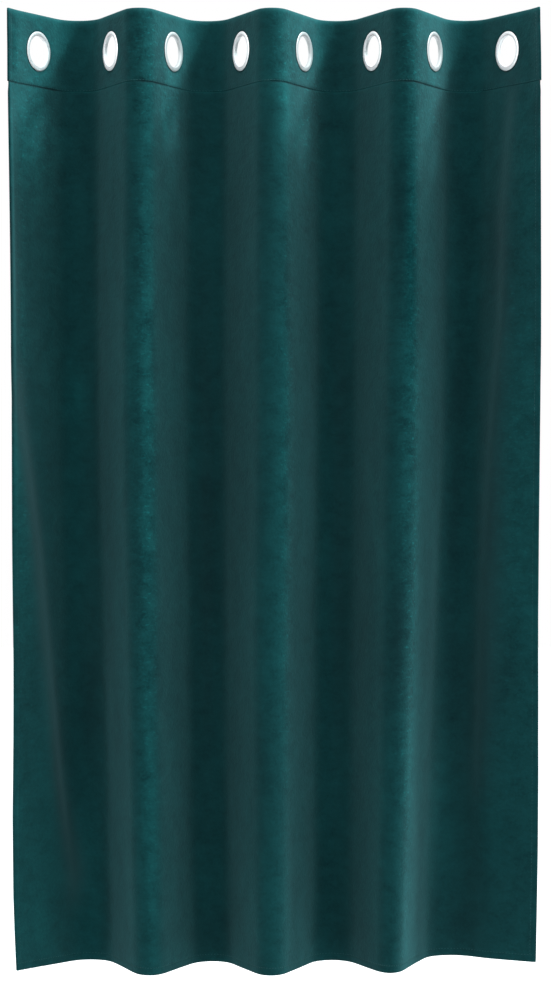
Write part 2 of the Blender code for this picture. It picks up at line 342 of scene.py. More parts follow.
# A point of the cloth, depth behind its front, with the directions along and out of it.
def clothPoint(s, z, depth):
    line, angle = clothLine(s, z)
    along = np.stack([np.cos(angle), np.sin(angle), np.zeros(len(s))], axis=1)
    behind = np.stack([-np.sin(angle), np.cos(angle), np.zeros(len(s))], axis=1)
    point = np.column_stack([line, z]) + (depth - ripple(s, z) - creases(s, z))[:, None] * behind
    point[:, 0] += edgeShift(s, z)
    point[:, 2] -= hemSag(s, z)
    return point, along, behind


# A smooth-shaded object from arrays of points and four-cornered faces.
def meshPiece(name, vertices, faces):
    mesh = bpy.data.meshes.new(name)
    mesh.vertices.add(len(vertices))
    mesh.vertices.foreach_set("co", vertices.astype(np.float32).ravel())
    mesh.loops.add(faces.size)
    mesh.loops.foreach_set("vertex_index", faces.astype(np.int32).ravel())
    mesh.polygons.add(len(faces))
    mesh.polygons.foreach_set("loop_start", np.arange(0, faces.size, faces.shape[1], dtype=np.int32))
    mesh.polygons.foreach_set("use_smooth", np.ones(len(faces), bool))
    mesh.update(calc_edges=True)
    mesh.validate()
    piece = bpy.data.objects.new(name, mesh)
    bpy.context.collection.objects.link(piece)
    return piece


# Four-cornered faces between rings of points, each ring closed on itself. A closed row of rings
# joins its last to its first.
def ringFaces(rings, around, isClosed=False):
    index = np.arange(rings * around).reshape(rings, around)
    if isClosed:
        index = np.concatenate([index, index[:1]])
    ahead = np.roll(index, -1, axis=1)
    corners = index[:-1], index[1:], ahead[1:], ahead[:-1]
    return np.stack(corners, axis=-1).reshape(-1, 4)


# A block of rectangles between two lists of places, counter-clockwise as seen from the front.
def gridBlock(acrossPlaces, upPlaces):
    s, z = np.meshgrid(acrossPlaces, upPlaces)
    points = np.column_stack([s.ravel(), z.ravel()])
    index = np.arange(s.size).reshape(s.shape)
    corners = index[:-1, :-1], index[:-1, 1:], index[1:, 1:], index[1:, :-1]
    return points, np.stack(corners, axis=-1).reshape(-1, 4)


# Joins blocks of (points, faces) into one, with each block's faces on its own points.
def stackBlocks(blocks):
    starts = np.cumsum([0] + [len(points) for points, _ in blocks[:-1]])
    points = np.concatenate([points for points, _ in blocks])
    return points, np.concatenate([faces + start for (_, faces), start in zip(blocks, starts)])


# Joins blocks into one plan, merging the points that blocks share: those that round to one place
# on a grid of half thousandths of a millimetre.
def joinBlocks(blocks):
    points, faces = stackBlocks(blocks)
    keys = np.round(points * 2e6).astype(np.int64)
    _, first, same = np.unique(keys, axis=0, return_index=True, return_inverse=True)
    return points[first], same.reshape(-1)[faces]


# Painted light (+) and painted shade (-), as soft ovals on the flat cloth:
# (s, z, half width, half height, amount), lengths in mm, by the nearest fold, from the top down.
paintedLightAndShadeRows = {
    "leftRidge": (
        (25, -18, 12, 22, 0.2), (60, -50, 45, 60, 0.35), (6, -52, 12, 48, -0.5),
        (34, -52, 10, 50, 0.2), (0, -150, 3, 50, -0.4), (45, -150, 45, 75, 0.65),
        (80, -165, 10, 18, -0.35), (32, -175, 18, 28, 0.28), (35, -215, 40, 35, 0.25),
        (6.5, -370, 4, 220, 1.1), (0, -400, 3, 280, -0.5), (18, -480, 16, 260, 0.25),
        (30, -620, 35, 60, 0.15), (7, -650, 6, 60, 0.4), (18, -760, 18, 90, 0.25),
        (55, -800, 25, 110, 0.2), (66, -970, 14, 120, 0.25), (60, -1090, 35, 150, 0.18),
        (6, -1180, 6, 170, 0.2), (50, -1260, 50, 110, 0.2), (35, -1330, 45, 60, 0.25),
    ),
    "trough1": (
        (120, -18, 25, 22, 0.25), (200, -18, 30, 25, 0.4), (125, -50, 25, 40, 0.15),
        (110, -92, 18, 14, 0.4), (235, -115, 40, 50, 0.25), (120, -175, 16, 30, 0.3),
        (145, -550, 22, 30, 0.3), (152, -1000, 18, 110, -0.2), (106, -1110, 12, 50, 0.3),
        (130, -1230, 35, 90, 0.35), (235, -1335, 50, 40, -0.18),
    ),
    "crest1": (
        (372, -18, 25, 22, 0.3), (400, -80, 26, 75, 0.6), (405, -138, 10, 10, 0.4),
        (385, -163, 12, 22, 0.6), (335, -560, 14, 480, 0.25), (320, -700, 9, 380, -0.17),
        (400, -1120, 45, 30, 0.22), (335, -1180, 14, 160, 0.25),
    ),
    "trough2": (
        (448, -18, 25, 22, 0.4), (430, -45, 30, 50, 0.25), (425, -110, 22, 45, 0.25),
        (425, -155, 10, 16, -0.28), (425, -500, 25, 30, 0.22), (410, -550, 30, 30, 0.2),
        (480, -620, 35, 40, 0.15), (485, -800, 14, 500, -0.12), (560, -800, 60, 500, -0.1),
        (490, -1335, 60, 40, -0.22),
    ),
    "crest2": (
        (722, -120, 20, 50, 0.25), (686, -130, 16, 50, 0.5), (730, -160, 12, 18, 0.45),
        (712, -180, 11, 18, 0.45), (692, -390, 13, 70, -0.17), (684, -690, 13, 560, 0.10),
        (655, -730, 25, 60, 0.15), (690, -945, 13, 70, -0.2),
    ),
    "trough3": (
        (745, -18, 45, 22, 0.35), (790, -45, 12, 55, 0.32), (755, -80, 28, 130, 0.45),
        (770, -154, 9, 10, -0.22), (772, -170, 20, 50, 0.15), (750, -212, 10, 12, 0.3),
        (770, -650, 22, 130, 0.15), (835, -700, 14, 450, -0.12), (885, -1335, 60, 40, -0.22),
    ),
    "crest3": (
        (1048, -18, 25, 22, 0.25), (1060, -92, 20, 16, 0.25), (1055, -182, 10, 16, 0.2),
        (1020, -190, 20, 40, -0.2), (985, -270, 16, 170, -0.3), (1035, -590, 60, 110, 0.15),
        (1022, -600, 16, 300, -0.14), (1012, -700, 14, 520, -0.1), (985, -870, 16, 150, -0.3),
    ),
    "trough4": (
        (1080, -50, 28, 60, 0.45), (1135, -95, 22, 30, -0.2), (1095, -130, 18, 38, -0.22),
        (1160, -620, 18, 380, -0.35), (1150, -700, 16, 170, 0.16), (1175, -1040, 14, 120, -0.2),
        (1145, -1180, 22, 80, 0.25), (1085, -1300, 30, 60, -0.18), (1200, -1335, 50, 40, -0.2),
    ),
    "rightRidge": (
        (1275, -15, 30, 20, 0.18), (1245, -150, 45, 70, 0.2), (1228, -300, 35, 90, -0.15),
        (1285, -690, 38, 190, 0.25), (1275, -930, 18, 140, -0.17),
    ),
}

# Painted sheen, greying the colour (+), and painted saturated highlights, less grey than elsewhere (-),
# in the same way.
paintedSheenRows = {
    "leftRidge": (
        (27, -50, 10, 50, 0.14), (13, -52, 12, 48, -0.5), (46, -52, 20, 50, 0.3),
        (38, -110, 22, 60, 0.25), (12, -150, 12, 50, 0.3), (16, -360, 14, 170, 0.25),
        (7, -370, 6, 210, 0.45), (4, -390, 14, 140, 0.5), (0, -400, 3, 300, -0.55),
        (85, -430, 35, 200, -0.07),
    ),
    "trough1": (
        (185, -35, 18, 30, 0.08), (98, -430, 22, 200, -0.13), (110, -600, 16, 450, -0.08),
        (160, -650, 14, 500, 0.10), (165, -920, 40, 180, 0.08), (215, -1000, 45, 150, 0.12),
        (115, -1230, 14, 60, -0.12),
    ),
    "crest1": (
        (400, -60, 30, 50, 0.5), (302, -90, 20, 120, -0.09), (345, -120, 11, 110, -0.18),
        (350, -520, 11, 240, -0.12),
    ),
    "trough2": (
        (435, -20, 25, 20, 0.14), (408, -150, 14, 110, 0.09), (485, -700, 16, 560, 0.18),
        (560, -750, 60, 500, 0.06), (560, -1240, 40, 120, 0.08),
    ),
    "crest2": ((725, -150, 35, 50, 0.1), (684, -700, 14, 560, -0.32)),
    "trough3": (
        (750, -10, 30, 16, 0.18), (745, -80, 42, 90, 0.45), (740, -95, 28, 22, 0.12),
        (835, -720, 16, 540, 0.18), (765, -760, 30, 90, 0.08), (895, -900, 18, 340, 0.10),
        (765, -1260, 30, 50, 0.1),
    ),
    "crest3": (
        (1065, -12, 25, 18, 0.18), (985, -180, 25, 200, -0.12), (1012, -330, 15, 200, -0.4),
        (905, -860, 25, 460, 0.12), (1024, -900, 17, 420, -0.5),
    ),
    "trough4": (
        (1080, -80, 35, 90, 0.45), (1075, -100, 25, 30, 0.12), (1100, -600, 30, 450, 0.06),
        (1135, -1000, 18, 320, 0.10), (1190, -1100, 25, 320, 0.10), (1148, -1130, 14, 160, 0.17),
    ),
    "rightRidge": (
        (1275, -90, 35, 80, -0.1), (1260, -160, 60, 160, -0.12), (1228, -1070, 20, 80, -0.11),
    ),
}

# Strips along the lit crests and the heading's highlights, with stronger mottle and pale flecks painted
# as glints, in the same way.
sparkleRows = {
    "leftRidge": ((60, -120, 60, 130, 1.1), (20, -600, 20, 500, 0.6)),
    "trough1": ((240, -60, 45, 70, 0.5),),
    "crest1": ((340, -60, 40, 70, 0.8), (400, -110, 36, 110, 1.1), (335, -640, 20, 560, 1.0)),
    "crest2": ((690, -60, 40, 70, 0.8), (690, -640, 20, 560, 1.0)),
    "trough3": ((755, -120, 36, 140, 1.3),),
    "crest3": ((1015, -60, 40, 70, 0.8), (1015, -640, 22, 560, 1.2), (1020, -1120, 22, 260, 0.5)),
    "trough4": ((1080, -80, 34, 100, 1.1),),
    "rightRidge": ((1280, -600, 40, 500, 0.4),),
}


# Painted light along the top edge, as a highlight where it rounds over, and over the covered seam.
# Painted shade in the open seam and as a shadow round each eyelet.
paintedLines = {
    "topEdge": (1.2, 0.0048),  # how far, and over what width
    # painted sheen along the top edge: how far, and over what width
    "topEdgeGrey": (1.2, 0.003),
    "coveredSeam": 0.35,
    "openSeam": -0.75,
    "seamWidth": 0.0017,
    "eyelet": -0.45,
    "eyeletRadius": 0.0292,
    "eyeletWidth": 0.0014,
}


# The sum over every fold's rows of the amount times a bell of the distance across and a bell of
# the distance up, each in half sizes.
def softOvals(rows, s, z):
    total = np.zeros(len(s))
    for middleS, middleZ, halfWidth, halfHeight, amount in sum(rows.values(), ()):
        across, up = (s / mm - middleS) / halfWidth, (z / mm - middleZ) / halfHeight
        total += amount * np.exp(-across * across - up * up)
    return total


# The painted light and shade: the patches, and a bell of the distance from each line named above.
def paintedLightAndShade(s, z):
    # a painted highlight along the top edge
    amount, width = paintedLines["topEdge"]
    topHighlight = amount * bell(z, width)
    # painted light over the covered seam and painted shade in the open one
    seamLightAndShade = paintedLines["coveredSeam"] + (paintedLines["openSeam"] - paintedLines["coveredSeam"]) * seamShare(s)
    seamLightAndShade = seamLightAndShade * bell(belowSeam(z), paintedLines["seamWidth"])
    # a painted shadow round each eyelet's rim
    eyeletShadow = paintedLines["eyelet"] * bell(fromEyelet(s, z) - paintedLines["eyeletRadius"], paintedLines["eyeletWidth"])
    return softOvals(paintedLightAndShadeRows, s, z) + topHighlight + seamLightAndShade + eyeletShadow


# How grey the painted sheen makes the pile: the strips, the top edge and the creases.
def paintedSheen(s, z):
    # painted sheen along the top edge, added to the strips
    amount, width = paintedLines["topEdgeGrey"]
    grey = softOvals(paintedSheenRows, s, z) + amount * bell(z, width)
    # painted sheen along each crease
    for _, _, halfWidth, amount, line in creaseRows.values():
        away, strength = creaseAt(s, z, halfWidth, line)
        grey += amount * bell(away, 1) * strength
    return grey


# A closed piece of cloth from a flat plan in (s, z). The front and back follow frontOf and
# backOf, which give depths behind the cloth's front line, and every free edge is closed by rims:
# a list of (share of the thickness from the front, distance outwards) for each edge point.
def clothMesh(name, plan, frontOf, backOf, rimOf):
    points, faces = plan
    s, z = points.T
    front, along, _ = clothPoint(s, z, frontOf(s, z))
    back, _, _ = clothPoint(s, z, backOf(s, z))
    count = len(points)

    starts = faces.ravel()
    ends = np.roll(faces, -1, axis=1).ravel()
    isFree = ~np.isin(starts * count + ends, ends * count + starts)
    starts, ends = starts[isFree], ends[isFree]
    run = points[ends] - points[starts]
    run = run / np.linalg.norm(run, axis=1)[:, None]
    outward = np.zeros((count, 2))
    np.add.at(outward, starts, np.column_stack([run[:, 1], -run[:, 0]]))
    np.add.at(outward, ends, np.column_stack([run[:, 1], -run[:, 0]]))
    edge = np.unique(starts)
    outward = outward[edge] / np.linalg.norm(outward[edge], axis=1)[:, None]
    outward3d = outward[:, :1] * along[edge] + outward[:, 1:] * np.array([0, 0, 1])

    rims = rimOf(s[edge], z[edge], outward)  # edge point, step, (share, distance)
    inward = back[edge] - front[edge]
    place = np.zeros(count, int)
    place[edge] = np.arange(len(edge))
    vertices = [front, back]
    rings = [np.arange(count)]
    for step in range(rims.shape[1]):
        share, distance = rims[:, step, :1], rims[:, step, 1:]
        vertices.append(front[edge] + share * inward + distance * outward3d)
        rings.append(2 * count + step * len(edge) + place)
    rings.append(np.arange(count, 2 * count))
    allFaces = [faces, faces[:, ::-1] + count]
    for near, far in zip(rings, rings[1:]):
        allFaces.append(np.stack([near[ends], near[starts], far[starts], far[ends]], axis=1))

    planPlaces = np.concatenate([points, points] + [points[edge]] * rims.shape[1])
    pileShare = np.concatenate([np.ones(count), np.zeros(count), np.ones(rims.shape[1] * len(edge))])
    piece = meshPiece(name, np.concatenate(vertices), np.concatenate(allFaces))
    addPlanMap(piece, planPlaces)
    addValue(piece, "pileShare", pileShare)
    # painted light (more than 0) and painted shade (less than 0), for the velvet to read
    addValue(piece, "paintedLightAndShade", paintedLightAndShade(*planPlaces.T))
    # painted sheen, and painted saturated highlights where less than 0
    addValue(piece, "paintedSheen", paintedSheen(*planPlaces.T))
    # the sparkle strips: stronger mottle and painted glints along the lit crests
    addValue(piece, "pileSparkle", softOvals(sparkleRows, *planPlaces.T))
    return piece


mapWidth = 1.4  # 1 unit of the cloth's own map is this much cloth, across and up


# Lays the cloth's map on a piece: s over mapWidth across, and 1 plus z over mapWidth up.
def addPlanMap(piece, places):
    corners = np.zeros(len(piece.data.loops), np.int32)
    piece.data.loops.foreach_get("vertex_index", corners)
    layer = piece.data.uv_layers.new(name="clothMap")
    placed = np.column_stack([places[:, 0] / mapWidth, 1 + places[:, 1] / mapWidth])
    layer.uv.foreach_set("vector", placed[corners].astype(np.float32).ravel())


# Gives every point of a piece a value, for its material to read.
def addValue(piece, name, values):
    attribute = piece.data.attributes.new(name, "FLOAT", "POINT")
    attribute.data.foreach_set("value", values.astype(np.float32))


# A half-oval rim that stands out by bulge at most.
def ovalRim(count, bulge, steps):
    turn = np.linspace(0, np.pi, steps + 2)[1:-1]
    rim = np.column_stack([(1 - np.cos(turn)) / 2, bulge * np.sin(turn)])
    return np.repeat(rim[None], count, axis=0)


# Places from low to high, in fine steps over a margin at each end and coarse ones between.
def placesWithMargins(low, high, margins, fine, coarse):
    inLow, inHigh = low + margins[0], high - margins[1]
    parts = [np.linspace(low, inLow, fine[0] + 1)]
    parts.append(np.linspace(inLow, inHigh, coarse + 1)[1:])
    parts.append(np.linspace(inHigh, high, fine[1] + 1)[1:])
    return np.concatenate(parts)


drop = {
    "columns": (268, (0.014, 0.014), (12, 12)),  # in the middle, margins and columns in them
    "rows": (138, (0.015, 0.006), (12, 5)),  # the same for rows, from the hem up
    "thickness": 0.0020,
    "hemThickness": 0.0030,
    "hemDepth": 0.012,  # side and bottom hems
    "hemEdge": 0.0012,  # a hem's turned edge slopes over this
    "stitchFromSide": 0.009,
    "stitchFromHem": 0.0105,
    "stitchDip": 0.0004,
    "sideStitchDip": 0.0002,
    "stitchDipWidth": 0.0013,
    "rimBulge": 0.0012,
    "rimSteps": 3,
    "topBulge": 0.0003,  # at the seam
    "underHeading": 0.0018,  # thickness just below the seam, in front of the heading's turning
    "underHeadingEnds": (0.005, 0.010),  # below the seam, where that thickness ends
}


# The dip of the front at the lines of stitches, and its roll into the seam.
def dropFront(s, z):
    sideDip = bell(fromSide(s) - drop["stitchFromSide"], drop["stitchDipWidth"])
    hemDip = bell(aboveHem(z) - drop["stitchFromHem"], drop["stitchDipWidth"])
    return np.maximum(drop["sideStitchDip"] * sideDip, drop["stitchDip"] * hemDip) + seamRoll(s, z)


# The back lies behind the front by the cloth's thickness, more over the hems, where it is
# turned double, and less where the heading's turning lies behind it.
def dropBack(s, z):
    inDepth, outDepth = drop["hemDepth"], drop["hemDepth"] + drop["hemEdge"]
    inSideHem = 1 - smoothStep(inDepth, outDepth, fromSide(s))
    inBottomHem = 1 - smoothStep(inDepth, outDepth, aboveHem(z))
    inHem = np.maximum(inSideHem, inBottomHem)
    thickness = drop["thickness"] + (drop["hemThickness"] - drop["thickness"]) * inHem
    nearSeam = 1 - smoothStep(*drop["underHeadingEnds"], belowSeam(z))
    return thickness + (drop["underHeading"] - thickness) * nearSeam


# Half-oval rims, flatter along the seam.
def dropRim(s, z, outward):
    rim = ovalRim(len(s), drop["rimBulge"], drop["rimSteps"])
    isTop = outward[:, 1] > 0.5
    rim[isTop] = ovalRim(1, drop["topBulge"], drop["rimSteps"])
    return rim


# The drop: rectangles over all the cloth below the seam, finer near its edges.
def makeDrop():
    bulge = drop["rimBulge"]
    columns, sideMargins, sideColumns = drop["columns"]
    across = placesWithMargins(bulge, cloth["cutWidth"] - bulge, sideMargins, sideColumns, columns)
    top = -cloth["headingDepth"] - seam["apart"] - drop["topBulge"]
    rows, endMargins, endRows = drop["rows"]
    up = placesWithMargins(bulge - cloth["dropHeight"], top, endMargins, endRows, rows)
    return clothMesh("velvetDrop", gridBlock(across, up), dropFront, dropBack, dropRim)


heading = {
    "thickness": 0.0030,
    "overhang": 0.001,  # the band stands out this far past the drop on each side
    "rimBulge": 0.0014,
    "bottomBulge": 0.0003,  # at the seam
    "lowerEdgeTop": 0.01,  # every rim of the lower edge is less than this above the seam
    "holeRadius": 0.0249,
    "acrossSteps": 52,  # around each hole, along the top and the bottom of its field
    "upSteps": 32,
    "ringSteps": 20,  # from a hole to the border of its field
    "ringCrowding": 1.15,  # 1 spaces those rings evenly, and more crowds them round the hole
    "endColumns": 14,
    "endWidth": 0.014,  # plain strip at each end
    "turningDepth": 0.0035,  # how far the turned-in back reaches below the seam
    "turningFromSide": (0.004, 0.02),  # it starts over this stretch from each side edge
    "dimpleDepth": 0.0007,  # the eyelet presses the pile down round its rim
    "dimpleRadius": 0.0288,
    "dimpleWidth": 0.0016,
}

# The lower edge from front to back: (share of the thickness, distance down in mm, share of the
# turning's depth). It is nearly square in front, and behind it the turning goes on down.
lowerEdgeRows = (
    (0.10, 0.2, 0),
    (0.30, 0.3, 0),
    (0.68, 0.3, 0),
    (0.70, 0.3, 1),
    (0.78, 0.4, 1.05),
    (0.92, 0.3, 1.05),
    (1.00, 0.1, 1),
)


# A block round one hole: rings of points that go from the hole's circle, at share 0, to the
# border of the field, at share 1, along straight spokes.
def holeBlock(middle, left, right, low, high):
    across = np.linspace(left, right, heading["acrossSteps"] + 1)[:-1]
    up = np.linspace(low, high, heading["upSteps"] + 1)[:-1]
    bottom = np.column_stack([across, np.full(len(across), low)])
    rightSide = np.column_stack([np.full(len(up), right), up])
    top = np.column_stack([left + right - across, np.full(len(across), high)])
    leftSide = np.column_stack([np.full(len(up), left), low + high - up])
    border = np.concatenate([bottom, rightSide, top, leftSide])
    spoke = border - middle
    circle = middle + heading["holeRadius"] * spoke / np.linalg.norm(spoke, axis=1)[:, None]
    share = (np.linspace(0, 1, heading["ringSteps"] + 1) ** heading["ringCrowding"])[:, None, None]
    points = circle + share * (border - circle)
    return points.reshape(-1, 2), ringFaces(*points.shape[:2])


# The greater of the side stitches' dip and the roll into the seam, plus a bell of the distance
# from the nearest eyelet's rim.
def headingFront(s, z):
    sideDip = drop["sideStitchDip"] * bell(fromSide(s) - drop["stitchFromSide"], drop["stitchDipWidth"])
    fromRim = fromEyelet(s, z) - heading["dimpleRadius"]
    dimple = heading["dimpleDepth"] * bell(fromRim, heading["dimpleWidth"])
    return np.maximum(sideDip, seamRoll(s, z)) + dimple


# The back lies one thickness behind the front.
def headingBack(s, z):
    return np.full(len(s), heading["thickness"])


# Half-oval rims, except along the lower edge. The tops of the holes face down too, but higher.
def headingRim(s, z, outward):
    rim = ovalRim(len(s), heading["rimBulge"], len(lowerEdgeRows))
    isLower = (outward[:, 1] < -0.5) & (z < heading["lowerEdgeTop"] - cloth["headingDepth"])
    share, square, turned = np.array(lowerEdgeRows).T
    turning = smoothStep(*heading["turningFromSide"], fromSide(s)[isLower])[:, None]
    down = square * mm + turned * heading["turningDepth"] * turning
    rim[isLower] = np.stack([share + 0 * down, down], axis=2)
    return rim


# The heading: rings round each hole, which reach halfway to the next one, and a plain block of
# rectangles at each end.
def makeHeading():
    bulge = heading["rimBulge"]
    left, right = bulge - heading["overhang"], cloth["cutWidth"] + heading["overhang"] - bulge
    low, high = -cloth["headingDepth"] + heading["bottomBulge"], -bulge
    inLeft, inRight = heading["endWidth"], cloth["cutWidth"] - heading["endWidth"]
    borders = np.concatenate([[inLeft], (eyeletS[:-1] + eyeletS[1:]) / 2, [inRight]])
    blocks = []
    for s, fieldLeft, fieldRight in zip(eyeletS, borders, borders[1:]):
        middle = np.array([s, -cloth["eyeletBelowTop"]])
        blocks.append(holeBlock(middle, fieldLeft, fieldRight, low, high))
    up = np.linspace(low, high, heading["upSteps"] + 1)
    blocks.append(gridBlock(np.linspace(left, inLeft, heading["endColumns"] + 1), up))
    blocks.append(gridBlock(np.linspace(inRight, right, heading["endColumns"] + 1), up))
    return clothMesh("velvetHeading", joinBlocks(blocks), headingFront, headingBack, headingRim)


stitch = {
    "pitch": 0.0048,
    "length": 0.0032,
    "radius": 0.00024,
    "sides": 6,
    "aboveSeam": 0.0019,
    "fromHeadingTop": 0.004,
}

# How a stitch swells and dives into the pile: (place along it, share of the radius, height of its
# middle in radii), from end to end.
stitchRings = ((-1, 0.3, -1.6), (-0.72, 0.85, 0.1), (0, 1, 0.75), (0.72, 0.85, 0.1), (1, 0.3, -1.6))


# One line of stitches on the cloth: middles at (s, z), running along or up the cloth, on the
# surface that depthOf gives, in front (side -1) or behind (side 1).
def stitchLine(s, z, isAlong, depthOf, side):
    place, share, height = np.array(stitchRings).T
    step = place * stitch["length"] / 2
    ringS = (s[:, None] + (step if isAlong else 0 * step)).ravel()
    ringZ = (z[:, None] + (0 * step if isAlong else step)).ravel()
    lift = side * np.tile(height, len(s)) * stitch["radius"]
    middle, along, behind = clothPoint(ringS, ringZ, depthOf(ringS, ringZ) + lift)
    across = np.array([0, 0, 1]) + 0 * along if isAlong else along
    turn = np.linspace(0, 2 * np.pi, stitch["sides"], endpoint=False)
    radius = (np.tile(share, len(s)) * stitch["radius"])[:, None, None]
    ring = np.cos(turn)[:, None] * across[:, None] + np.sin(turn)[:, None] * behind[:, None]
    points = middle[:, None] + radius * ring  # ring, corner, (x, y, z)
    pointsEach = len(place) * stitch["sides"]
    walls = ringFaces(len(place), stitch["sides"])[:, [0, 3, 2, 1]]  # turned to face outwards
    nearCap = np.array([[3, 2, 1, 0], [5, 4, 3, 0]])  # two faces close a six-sided end
    farCap = nearCap[:, ::-1] + pointsEach - stitch["sides"]
    facesEach = np.concatenate([walls, nearCap, farCap])
    faces = facesEach + pointsEach * np.arange(len(s))[:, None, None]
    return points.reshape(-1, 3), faces.reshape(-1, 4)


# Every line of stitches: along the seam, along the bottom hem and up both side hems, each seen
# in front and behind.
def makeStitches():
    width, height, pitch = cloth["cutWidth"], cloth["dropHeight"], stitch["pitch"]
    across = np.arange(pitch / 2, width, pitch)
    seamHeight = np.full(len(across), stitch["aboveSeam"] - cloth["headingDepth"])
    hemHeight = np.full(len(across), drop["stitchFromHem"] - height)
    upDrop = np.arange(drop["hemDepth"] - height, -cloth["headingDepth"] - pitch, pitch)
    upHeading = np.arange(2 * pitch - cloth["headingDepth"], -stitch["fromHeadingTop"], pitch)
    lines = []
    for side, dropDepth, headingDepth in ((-1, dropFront, headingFront), (1, dropBack, headingBack)):
        lines.append(stitchLine(across, seamHeight, True, headingDepth, side))
        lines.append(stitchLine(across, hemHeight, True, dropDepth, side))
        for s in (drop["stitchFromSide"], width - drop["stitchFromSide"]):
            lines.append(stitchLine(np.full(len(upDrop), s), upDrop, False, dropDepth, side))
            lines.append(stitchLine(np.full(len(upHeading), s), upHeading, False, headingDepth, side))
    return meshPiece("velvetStitches", *stackBlocks(lines))


eyelet = {
    "outerRadius": 0.0283,
    "boreRadius": 0.02225,
    "barrelRadius": 0.0246,
    "faceRise": 0.0011,
    "faceBluntness": 0.85,  # 1 is a half oval, and less is blunter
    "faceLean": (0.18, 0.6),  # how much the face leans to the rim, and the turn that it leans from
    "clearance": 0.0003,
    "faceSteps": 18,
    "ringSteps": 96,
    "sharpAngle": 50,
    "slopeFromBore": 0.0012,  # the painted shade on the slope round the bore
    "slopeWidth": 0.0009,
}


# One pressed face from its rim to the bore: a half oval whose top is nearer the rim, so that
# the inner side is a longer, flatter slope.
def eyeletFace():
    turn = np.linspace(0, np.pi, eyelet["faceSteps"] + 1)
    middle = (eyelet["outerRadius"] + eyelet["boreRadius"]) / 2
    half = (eyelet["outerRadius"] - eyelet["boreRadius"]) / 2
    lean, leanTurn = eyelet["faceLean"]
    rise = eyelet["faceRise"] * np.sin(turn) ** eyelet["faceBluntness"]
    return middle + half * np.cos(turn), rise * (1 - lean + lean * np.cos(turn - leanTurn))


# The whole section: front face, back face and barrel, as radii and heights above the heading.
def eyeletProfile():
    radius, rise = eyeletFace()
    front, back = eyelet["clearance"], -heading["thickness"] - eyelet["clearance"]
    barrel = np.full(2, eyelet["barrelRadius"])
    height = np.concatenate([front + rise, back - rise[::-1], [back, front]])
    return np.concatenate([radius, radius[::-1], barrel]), height


# The profile turned once round its axis, at the eyelet's place on the cloth. Painted shade and a
# painted reflection of the dark cloth mark its inner slope: a bell of the radius, most at its top and
# bottom.
def makeEyelet(name, point, angle):
    radius, height = eyeletProfile()
    turn = np.linspace(0, 2 * np.pi, eyelet["ringSteps"], endpoint=False)[:, None]
    along = np.array([math.cos(angle), math.sin(angle), 0])
    outOf = np.array([math.sin(angle), -math.cos(angle), 0])
    middle = np.array([point[0], point[1], -cloth["eyeletBelowTop"]])
    acrossPart = (radius * np.cos(turn))[:, :, None] * along
    upPart = (radius * np.sin(turn))[:, :, None] * np.array([0, 0, 1])
    points = middle + acrossPart + upPart + (height + 0 * turn)[:, :, None] * outOf
    faces = ringFaces(*points.shape[:2], isClosed=True)
    piece = meshPiece(name.replace("eyelet_", "eyeletRing"), points.reshape(-1, 3), faces)
    inSlope = radius - eyelet["boreRadius"] - eyelet["slopeFromBore"]
    # painted shade on the inner slope, most at the top and bottom
    paintedSlopeShade = bell(inSlope, eyelet["slopeWidth"]) * np.sin(turn) ** 4
    addValue(piece, "paintedSlopeShade", paintedSlopeShade.ravel())
    piece.data.set_sharp_from_angle(angle=math.radians(eyelet["sharpAngle"]))
    return piece


# A new material, with its tree and its shader.
def newMaterial(name):
    material = bpy.data.materials.new(name)
    material.use_nodes = True
    tree = material.node_tree
    return material, tree, tree.nodes["Principled BSDF"]


# A node with its settings. Nodes stand in columns of six, in the order that they are made.
def addNode(tree, kind, **settings):
    column, row = divmod(len(tree.nodes), 6)
    node = tree.nodes.new(kind)
    node.location = (220 * column - 1600, 500 - 240 * row)
    for name, value in settings.items():
        setattr(node, name, value)
    return node


# Feeds inputs, by name or number, with other nodes' outputs or with plain values.
def feed(tree, node, values):
    for name, value in values.items():
        if isinstance(value, bpy.types.NodeSocket):
            tree.links.new(value, node.inputs[name])
        else:
            node.inputs[name].default_value = value


# The output of one step of arithmetic on numbers or outputs.
def sumOf(tree, operation, *values):
    node = addNode(tree, "ShaderNodeMath", operation=operation)
    feed(tree, node, dict(enumerate(values)))
    return node.outputs[0]


# A place stretched by a factor each way.
def stretched(tree, vector, factors):
    node = addNode(tree, "ShaderNodeVectorMath", operation="MULTIPLY")
    feed(tree, node, {0: vector, 1: factors})
    return node.outputs[0]


# A noise over a place.
def noiseOf(tree, vector, **values):
    node = addNode(tree, "ShaderNodeTexNoise")
    feed(tree, node, {"Vector": vector, **values})
    return node.outputs["Fac"]


# A value carried from one range to another.
def rangeOf(tree, value, fromRange, toRange, clamp=True):
    node = addNode(tree, "ShaderNodeMapRange", clamp=clamp)
    feed(tree, node, {"Value": value, "From Min": fromRange[0], "From Max": fromRange[1]})
    feed(tree, node, {"To Min": toRange[0], "To Max": toRange[1]})
    return node.outputs["Result"]


# The colour that lies a factor of the way from one to another, or past them.
def mixOf(tree, factor, first, second, blend="MIX"):
    settings = {"data_type": "RGBA", "blend_type": blend, "clamp_factor": False}
    node = addNode(tree, "ShaderNodeMix", **settings)
    feed(tree, node, {"Factor": factor, "A": first, "B": second})
    return node.outputs["Result"]


# A value of the piece's points, by name.
def valueOf(tree, name):
    return addNode(tree, "ShaderNodeAttribute", attribute_name=name).outputs["Fac"]


# The normal that a height gives.
def bumpOf(tree, height, strength, distance):
    node = addNode(tree, "ShaderNodeBump")
    feed(tree, node, {"Height": height, "Strength": strength, "Distance": distance})
    return node.outputs["Normal"]


